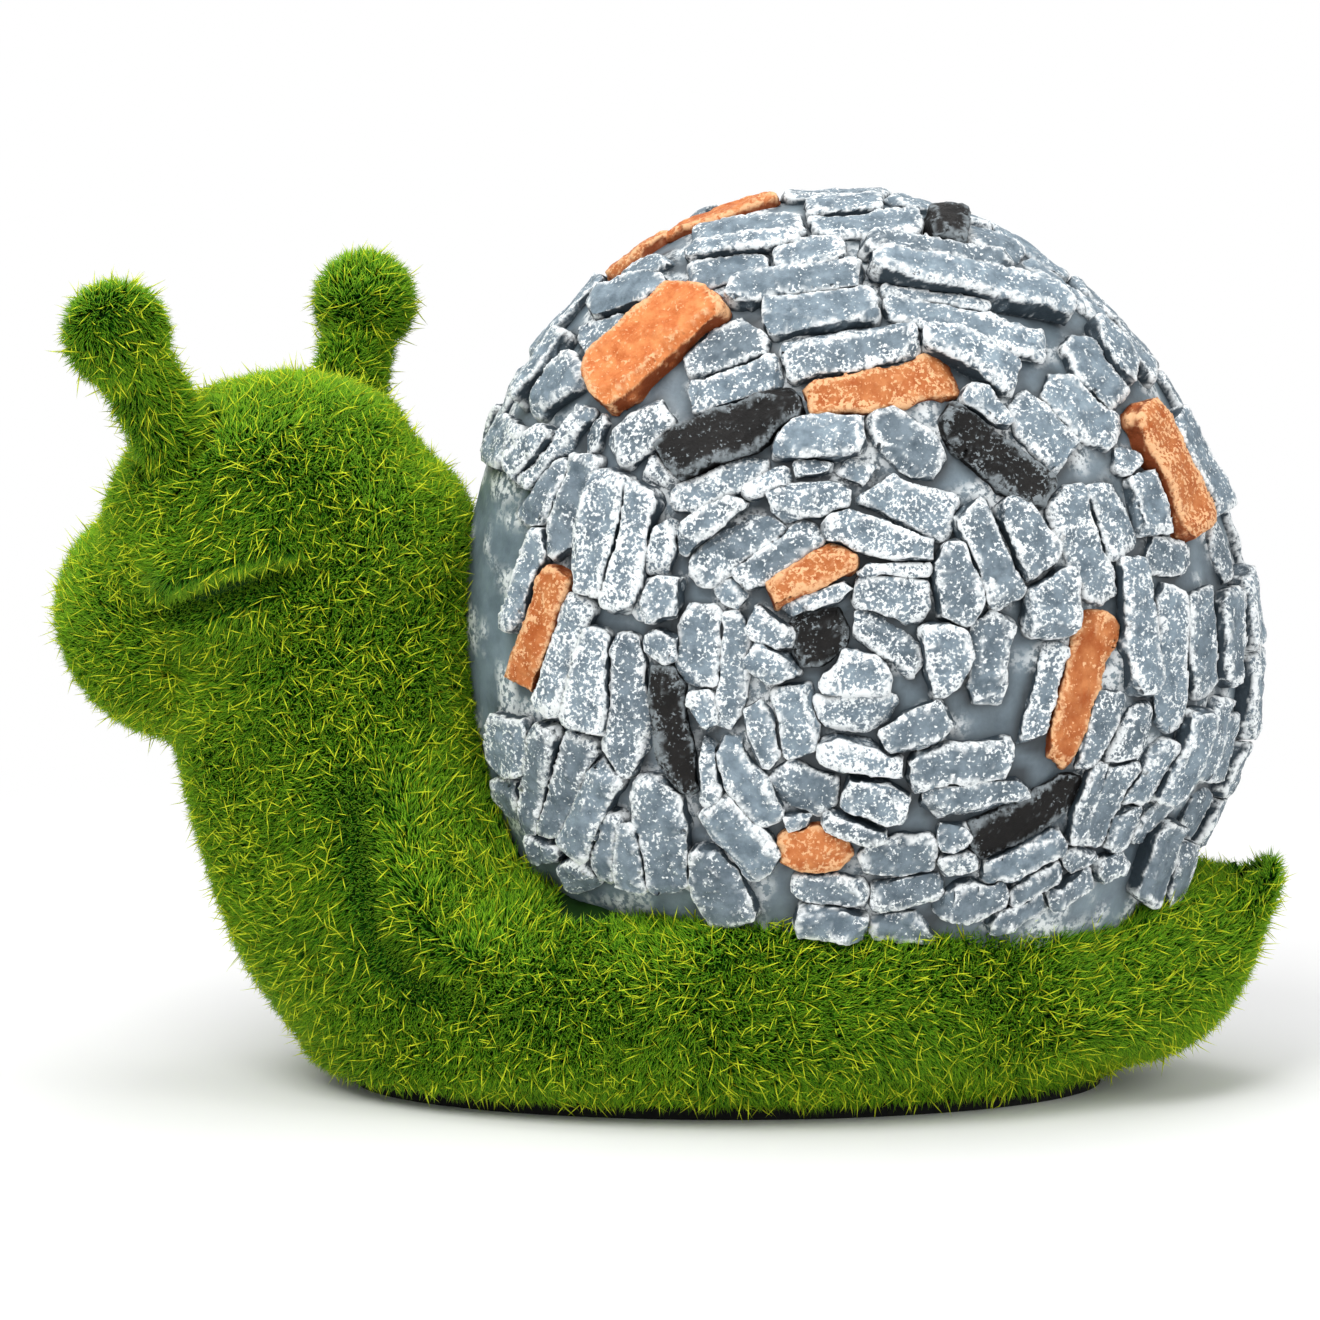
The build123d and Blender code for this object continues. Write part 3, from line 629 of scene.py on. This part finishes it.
def spikes(root, along, reach, thick, shade):
    """Short fibres that run to a point: their points, triangles and map places."""
    count = len(root)
    places = [root + edge for edge in ring_round(along, thick)] + [root + along * reach[:, None]]
    first = (np.arange(count) * 4)[:, None]
    faces = [first + row for row in ((2, 1, 0), (0, 1, 3), (1, 2, 3), (2, 0, 3))]
    step = 0.02
    low = np.stack([shade, np.zeros(count)], axis=1)
    foot = low[:, None] + ((0, 0), (step, 0), (step / 2, 0.06))
    side = low[:, None] + ((0, 0), (step, 0), (step / 2, 1.0))
    spots = np.concatenate([foot, side, side, side]).reshape(-1, 2)
    return np.stack(places, axis=1).reshape(-1, 3), np.concatenate(faces), spots


def straws(root, along, reach, thick, shade, bend):
    """Long bent fibres: their points, triangles and map places."""
    count = len(root)
    ring = ring_round(along, thick)
    middle = root + along * (reach * 0.55)[:, None]
    tip = root + along * reach[:, None] + bend
    places = [root + edge for edge in ring] + [middle + edge * 0.9 for edge in ring] + [tip]
    first = (np.arange(count) * 7)[:, None]
    rows = ((2, 1, 0), (0, 1, 4), (0, 4, 3), (1, 2, 5), (1, 5, 4), (2, 0, 3), (2, 3, 5),
            (3, 4, 6), (4, 5, 6), (5, 3, 6))
    step, up = 0.02, 0.40
    low = np.stack([shade, np.full(count, 0.35)], axis=1)
    foot = low[:, None] + ((0, 0), (step, 0), (step / 2, 0.06))
    right = low[:, None] + ((0, 0), (step, 0), (step, up))
    left = low[:, None] + ((0, 0), (step, up), (0, up))
    cap = low[:, None] + ((0, up), (step, up), (step / 2, 0.65))
    spots = np.concatenate([foot] + [right, left] * 3 + [cap] * 3).reshape(-1, 2)
    faces = np.concatenate([first + row for row in rows])
    return np.stack(places, axis=1).reshape(-1, 3), faces, spots


def grow_coat(label, coat, casting, chance, pile, materials):
    """A coat's glue layer and its fibres, in patches from head to tail."""
    points, triangles, normals = coat_skin(coat, casting, pile.length * 0.45)
    points = points - normals * (pile.length * 0.70)
    new_piece(f"{label}_glue", points, [triangles], materials["glue"], [coat])
    area = areas(points, triangles)
    total = area.sum() / MM ** 2 * pile.density
    patches = max(1, math.ceil(total / FIBRES_PER_PIECE))
    order = np.argsort(points[triangles[:, 0], 0], kind="stable")
    bounds = np.searchsorted(np.cumsum(area[order]), np.linspace(0, area.sum(), patches + 1))
    for patch in range(patches):
        rows = triangles[order[bounds[patch]:bounds[patch + 1]]]
        count = int(total / patches)
        pale = int(count * pile.straw_share)
        root, out = sown(points, rows, normals, count - pale, chance)
        along = leaning(root, out, pile.comb, pile.stray, chance, pile.seed)
        deep = in_crease(root) if label == "body" else np.zeros(len(root))
        reach = pile.length * chance.uniform(0.70, 1.18, len(root)) * (1 - 0.55 * deep)
        patch_shade = 0.5 + 0.5 * grain(root, 9 * MM, pile.seed + 9)
        # Painted shade: fibres deep in the creases take the darkest greens.
        shade = 0.14 + 0.30 * patch_shade + chance.normal(0, 0.22, len(root)) - 0.6 * deep
        shade = np.clip(shade, 0, 0.80)
        thick = pile.width * chance.uniform(0.38, 0.62, len(root))
        short = spikes(root, along, reach, thick, shade)
        root, out = sown(points, rows, normals, pale, chance)
        if label == "body":
            open_place = in_crease(root) < 0.25
            root, out = root[open_place], out[open_place]
            pale = len(root)
        along = leaning(root, out, pile.comb, pile.stray * 2.6, chance, pile.seed)
        root = root + out * (pile.length * chance.uniform(0.1, 0.45, pale))[:, None]
        reach = pile.length * chance.uniform(0.9, 1.75, pale)
        thick = pile.width * chance.uniform(0.26, 0.42, pale)
        bend = chance.normal(size=root.shape) * (reach * 0.03)[:, None]
        long = straws(root, along, reach, thick, 0.84 + 0.12 * chance.random(pale), bend)
        places = np.concatenate([short[0], long[0]])
        places[:, 2] = np.maximum(places[:, 2], 0.3 * MM)
        faces = np.concatenate([short[1], long[1] + len(short[0])])
        spots = np.concatenate([short[2], long[2]])
        new_piece(f"{label}_pile_{patch + 1:02d}", places, [faces], materials["pile"],
                  [coat], map_points=spots)


class SNAIL_OT_pile(bpy.types.Operator):
    """Sow the green pile on the body and the tentacles"""
    bl_idname = "snail.pile"
    bl_label = "Green pile"

    def execute(self, context):
        pile = context.scene.snail_pile
        chance = np.random.default_rng(pile.seed)
        materials = {"pile": pile_material(pile), "glue": backing_material(pile)}
        for label in ("body", "left_tentacle", "right_tentacle"):
            grow_coat(label, f"{label}_coat", f"{label}_casting", chance, pile, materials)
        return {"FINISHED"}


class SNAIL_OT_castings(bpy.types.Operator):
    """Finish the castings under the pile and the pad under the foot"""
    bl_idname = "snail.castings"
    bl_label = "Castings and pad"

    def execute(self, context):
        resin = plain_material("painted resin casting", "#12300a", "#1c400e", 8 * MM, 0.9)
        # The pad under the foot is black as painted shade: it stands in for the dark gap under the pile.
        pad_shade = plain_material("black pad as painted shade", "#111111", "#1b1b1b", 1.5 * MM, 0.85)
        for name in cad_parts:
            if name.endswith("_casting") or name == "base_pad":
                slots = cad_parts[name].data.materials
                slots.clear()
                slots.append(pad_shade if name == "base_pad" else resin)
        points, triangles = remeshed("body_casting", CASTING_VOXEL)
        sunk = np.minimum(coat_relief(points), 0) * SINK_SHARE - GLUE_ROOM
        points = points + point_normals(points, triangles) * sunk[:, None]
        new_piece("creased_casting", points, [triangles], resin, ["body_casting"])
        points, triangles = remeshed("shell_casting", CASTING_VOXEL)
        points = pressed(points) - point_normals(points, triangles) * GLUE_ROOM
        new_piece("pressed_casting", points, [triangles], resin, ["shell_casting"])
        return {"FINISHED"}


def chip_groups(points, triangles):
    """The number of the separate chip that each point belongs to."""
    group = np.arange(len(points))
    while True:
        low = np.minimum.reduceat(group[triangles].ravel(), np.arange(0, triangles.size, 3))
        before = group.copy()
        for k in range(3):
            np.minimum.at(group, triangles[:, k], low)
        group = group[group]
        if (group == before).all():
            return np.unique(group, return_inverse=True)[1]


def off_dome(points):
    """The directions straight out of the shell's dome at some points."""
    offset = points / MM - DOME_MIDDLE
    across = offset[:, 0] * math.cos(DOME_LEAN) + offset[:, 2] * math.sin(DOME_LEAN)
    upward = offset[:, 2] * math.cos(DOME_LEAN) - offset[:, 0] * math.sin(DOME_LEAN)
    across, upward = across / DOME_HALF[0] ** 2, upward / DOME_HALF[2] ** 2
    out = np.stack([
        across * math.cos(DOME_LEAN) - upward * math.sin(DOME_LEAN),
        offset[:, 1] / DOME_HALF[1] ** 2,
        across * math.sin(DOME_LEAN) + upward * math.cos(DOME_LEAN),
    ], axis=1)
    return out / np.linalg.norm(out, axis=1, keepdims=True)


def pressed(points):
    """Points of the shell moved from its plain dome to its true outline."""
    along, up = points[:, 0] / MM - DOME_MIDDLE[0], points[:, 2] / MM - DOME_MIDDLE[2]
    reach = np.hypot(along, up)
    angles, swellings = zip(*SWELLING)
    move = np.interp(np.degrees(np.arctan2(up, along)), angles, swellings)
    move *= np.clip(reach / 40 - 1.2, 0, 1)
    moved = points.copy()
    moved[:, 0] += move * along / reach * MM
    moved[:, 2] += move * up / reach * MM
    return moved


def sideways(ways, out):
    """What of some directions runs along the dome."""
    return ways - out * dots(ways, out)[:, None]


def joint_room(points, triangles, ways, stones, shell):
    """How far points can move along the dome before they meet the next chip half way."""
    size = np.linalg.norm(ways, axis=1)
    room = np.zeros((len(points), 2))
    clear = 0.5 * MM
    for row in np.flatnonzero(size > 0.35):
        way = Vector(ways[row] / size[row])
        hit = stones.ray_cast(Vector(points[row]) + way * clear, way, 2 * shell.spread)[3]
        reach = shell.spread * 0.45 if hit is None else (hit + clear - shell.joint) / 2
        room[row] = min(max(reach, 0), shell.spread), 1
    for _ in range(8):
        room = neighbour_mean(room, triangles)
    return room[:, 0] / np.maximum(room[:, 1], 0.05)


def broken_chips(name, shell, stones, seed):
    """The chips of one node with split faces and broken edges: points, triangles and values."""
    points, triangles = remeshed(name, shell.chip_voxel)
    ways = sideways(point_normals(points, triangles), off_dome(points))
    points = points + ways * joint_room(points, triangles, ways, stones, shell)[:, None]
    chip = chip_groups(points, triangles)
    count = chip.max() + 1
    chance = np.random.default_rng(seed)
    shift = chance.uniform(-1, 1, (count, 3))[chip]
    own = points + shift
    wander = np.stack([grain(own, 8 * MM, seed + k) for k in (1, 2, 3)], axis=1)
    points = points + wander * shell.ragged
    middle = np.stack([np.bincount(chip, points[:, k], count) for k in range(3)], axis=1)
    middle /= np.bincount(chip)[:, None]
    out = off_dome(middle)
    height = dots(points - middle[chip], out[chip])
    points = points + out[chip] * np.maximum(height * 0.25 + 0.4 * MM, 0)[:, None]
    order = np.argsort(chip, kind="stable")
    ends = np.searchsorted(chip[order], np.arange(count + 1))
    for one in range(count):
        rows = order[ends[one]:ends[one + 1]]
        for steepest, most in SPLITS:
            slope = np.cross(out[one], chance.normal(size=3))
            way = out[one] + slope / np.linalg.norm(slope) * steepest * chance.uniform(0.5, 1)
            way /= np.linalg.norm(way)
            heights = points[rows] @ way
            past = heights - heights.max() + shell.split * most * chance.uniform(0.2, 1)
            points[rows] -= np.maximum(past, 0)[:, None] * way
    normals = point_normals(points, triangles)
    rough = grain(own, 2.6 * MM, seed + 6) + 0.6 * grain(own, 1.4 * MM, seed + 7)
    flake = np.round(2 * grain(own, 5 * MM, seed + 8)) / 2
    points = points + normals * ((rough * 0.55 + flake) * shell.relief)[:, None]
    bulge = points - neighbour_mean(points, triangles)
    bulge = bulge + neighbour_mean(bulge, triangles)
    normals = point_normals(points, triangles)
    sharp = dots(bulge, normals) / (0.26 * MM)
    height = dots(points - middle[chip], out[chip])
    low = np.full(count, np.inf)
    np.minimum.at(low, chip, height)
    raised = np.clip((height - low[chip]) / (4.5 * MM), 0, 1)
    facing = dots(normals, out[chip])
    face = np.clip((facing - 0.15) / 0.5, 0, 1) * np.clip(raised * 2.2 - 0.5, 0, 1)
    ridge = np.clip(1.7 * sharp - 0.65, 0, 1) * np.clip(raised * 2 - 0.6, 0, 1)
    beside = ridge[:, None]
    for _ in range(5):
        beside = np.maximum(ridge[:, None], neighbour_mean(beside, triangles))
    paint = 0.10 * beside[:, 0] - 0.048 + chance.normal(0, 0.02, count)[chip]
    # Painted shade: less pale paint and a darker tone low on the shell, and less pale paint on its crown.
    foot = np.clip((LOW_SHADE_HEIGHT - points[:, 2] / MM) / SHADE_FADE, 0, 1)
    crown_shade = np.clip((points[:, 2] / MM - HIGH_SHADE_HEIGHT) / SHADE_FADE, 0, 1)
    paint -= 0.07 * foot + 0.045 * crown_shade
    tone_and_shade = chance.random(count)[chip] - 0.4 * foot
    return pressed(points), triangles, {"tone_and_shade": tone_and_shade, "ridge": ridge, "face": face, "paint": paint}


class SNAIL_OT_chips(bpy.types.Operator):
    """Break the edges and faces of the chips, course by course"""
    bl_idname = "snail.chips"
    bl_label = "Slate chips"

    def execute(self, context):
        shell = context.scene.snail_shell
        # The third colour of each chip finish is the painted shade of its sides.
        slate = chip_material("dry-brushed slate", shell.slate_colour, shell.slate_dark,
                              shell.slate_side_shade, shell.brush_colour, 1.0)
        clay = chip_material("fired terracotta", shell.terracotta_colour, shell.terracotta_dark,
                             linear("#7a3a1a"), linear("#f0bc8c"), 1.1)
        black = chip_material("black slag stone", shell.black_colour, linear("#0f0e0e"),
                              linear("#0b0a0a"), linear("#838b8f"), 0.75)
        stones = BVHTree.FromPolygons(*joined(CHIP_NODES))
        finish = {"terracotta_chips": (clay, "terracotta"), "black_chips": (black, "black_stone")}
        for index, name in enumerate(CHIP_NODES):
            material, slot = finish.get(name, (slate, "slate"))
            points, triangles, values = broken_chips(name, shell, stones, shell.seed + 10 * index)
            new_piece(f"{name}_broken", points, [triangles], material, [name], values)
        return {"FINISHED"}


class SNAIL_OT_mortar(bpy.types.Operator):
    """Trowel the mortar between the chips"""
    bl_idname = "snail.mortar"
    bl_label = "Mortar"

    def execute(self, context):
        shell = context.scene.snail_shell
        points, triangles = remeshed("mortar_bed", shell.mortar_voxel)
        normals = point_normals(points, triangles)
        inner = tree_of("shell_casting")
        reach = np.array([inner.find_nearest(Vector(p))[3] for p in points])
        outside = np.clip(reach / (3 * MM) - 0.3, 0, 1)
        stones = BVHTree.FromPolygons(*joined(CHIP_NODES))
        apart = np.array([stones.find_nearest(Vector(p))[3] for p in points])
        beside = np.exp(-apart / (2.5 * MM))
        lumps = grain(points, 8 * MM, 51) + 0.5 * grain(points, 3.5 * MM, 52)
        rise = shell.mortar_rise * (0.8 + 0.4 * beside) + lumps * 0.5 * MM
        points = points + normals * (outside * rise)[:, None]
        # Mask of the painted shade, deepest beside the chips.
        deep = np.clip(1.5 * np.exp(-apart / (2.6 * MM)) - 0.2 - 0.3 * lumps, 0, 1)
        new_piece("trowelled_mortar", pressed(points), [triangles], mortar_material(shell),
                  ["mortar_bed"], {"deep": deep, "ridge": np.clip(1.6 * lumps - 0.2, 0, 0.85)})
        return {"FINISHED"}


class SNAIL_OT_stage(bpy.types.Operator):
    """Set the floor, the light and the camera"""
    bl_idname = "snail.stage"
    bl_label = "Stage"

    def execute(self, context):
        stage = context.scene.snail_stage
        scene = context.scene
        scene.view_settings.view_transform = "Standard"
        mesh = bpy.data.meshes.new("floor")
        sides = ((-1, -1), (1, -1), (1, 1), (-1, 1))
        corners = [(x * FLOOR_HALF, y * FLOOR_HALF, 0) for x, y in sides]
        mesh.from_pydata(corners, [], [(0, 1, 2, 3)])
        floor = bpy.data.objects.new("floor", mesh)
        scene.collection.objects.link(floor)
        material, tree, shader = new_material("matt pale floor")
        shader.inputs["Base Color"].default_value = stage.floor_colour
        shader.inputs["Roughness"].default_value = 0.9
        place = add_node(tree, "ShaderNodeTexCoord")
        centred = add_node(
            tree, "ShaderNodeVectorMath", {0: place.outputs["Object"]}, operation="LENGTH"
        )
        away = add_node(
            tree, "ShaderNodeMapRange",
            {"Value": centred.outputs["Value"], "From Min": FADE_START, "From Max": FADE_END},
            interpolation_type="SMOOTHSTEP",
        )
        rays = add_node(tree, "ShaderNodeLightPath")
        seen = add_node(
            tree, "ShaderNodeMath",
            {0: rays.outputs["Is Camera Ray"], 1: away.outputs["Result"]}, operation="MULTIPLY",
        )
        white = add_node(tree, "ShaderNodeEmission", {"Color": (1, 1, 1, 1), "Strength": 1.0})
        either = add_node(
            tree, "ShaderNodeMixShader",
            {0: seen.outputs[0], 1: shader.outputs["BSDF"], 2: white.outputs[0]},
        )
        end = next(node for node in tree.nodes if node.bl_idname == "ShaderNodeOutputMaterial")
        tree.links.new(either.outputs[0], end.inputs["Surface"])
        mesh.materials.append(material)

        world = bpy.data.worlds.new("studio")
        scene.world = world
        world.use_nodes = True
        tree = world.node_tree
        tree.nodes.clear()
        rays = add_node(tree, "ShaderNodeLightPath")
        seen = add_node(
            tree, "ShaderNodeMath",
            {0: rays.outputs["Is Camera Ray"], 1: rays.outputs["Is Glossy Ray"]}, operation="MAXIMUM",
        )
        soft = add_node(tree, "ShaderNodeBackground", {"Color": (1, 1, 1, 1), "Strength": 0.46})
        white = add_node(tree, "ShaderNodeBackground", {"Color": (1, 1, 1, 1), "Strength": 1.0})
        either = add_node(
            tree, "ShaderNodeMixShader",
            {0: seen.outputs[0], 1: soft.outputs[0], 2: white.outputs[0]},
        )
        add_node(tree, "ShaderNodeOutputWorld", {"Surface": either.outputs[0]})

        for name, place, size, power in LAMPS:
            lamp = bpy.data.lights.new(name, "AREA")
            lamp.size = size
            lamp.energy = power
            holder = bpy.data.objects.new(name, lamp)
            holder.location = place
            aim = Vector((0, 0, 0.1)) - Vector(place)
            holder.rotation_euler = aim.to_track_quat("-Z", "Y").to_euler()
            scene.collection.objects.link(holder)

        lens = bpy.data.cameras.new("camera")
        lens.sensor_width = 36.0
        lens.lens = lens.sensor_width * stage.distance / stage.frame_width
        camera = bpy.data.objects.new("camera", lens)
        scene.collection.objects.link(camera)
        target = Vector((-1.8 * MM, 0, 111.3 * MM))
        back = Vector((0, -math.cos(stage.elevation), math.sin(stage.elevation)))
        camera.location = target + back * stage.distance
        camera.rotation_euler = (-back).to_track_quat("-Z", "Y").to_euler()
        scene.camera = camera
        return {"FINISHED"}


class SNAIL_PT_panel(bpy.types.Panel):
    """Buttons for the snail's steps"""
    bl_label = "Garden snail"
    bl_idname = "SNAIL_PT_panel"
    bl_space_type = "VIEW_3D"
    bl_region_type = "UI"
    bl_category = "Snail"

    def draw(self, context):
        for operator in OPERATORS:
            self.layout.operator(operator.bl_idname)


OPERATORS = (SNAIL_OT_castings, SNAIL_OT_mortar, SNAIL_OT_chips, SNAIL_OT_pile, SNAIL_OT_stage)
GROUPS = (("snail_pile", SnailPile), ("snail_shell", SnailShell), ("snail_stage", SnailStage))


def register():
    for name, group in GROUPS:
        bpy.utils.register_class(group)
        setattr(bpy.types.Scene, name, PointerProperty(type=group))
    for operator in OPERATORS:
        bpy.utils.register_class(operator)
    bpy.utils.register_class(SNAIL_PT_panel)


def unregister():
    bpy.utils.unregister_class(SNAIL_PT_panel)
    for operator in reversed(OPERATORS):
        bpy.utils.unregister_class(operator)
    for name, group in reversed(GROUPS):
        delattr(bpy.types.Scene, name)
        bpy.utils.unregister_class(group)


def main():
    register()
    bpy.ops.snail.castings()
    bpy.ops.snail.mortar()
    bpy.ops.snail.chips()
    bpy.ops.snail.pile()
    bpy.ops.snail.stage()


if __name__ == "__main__":
    main()
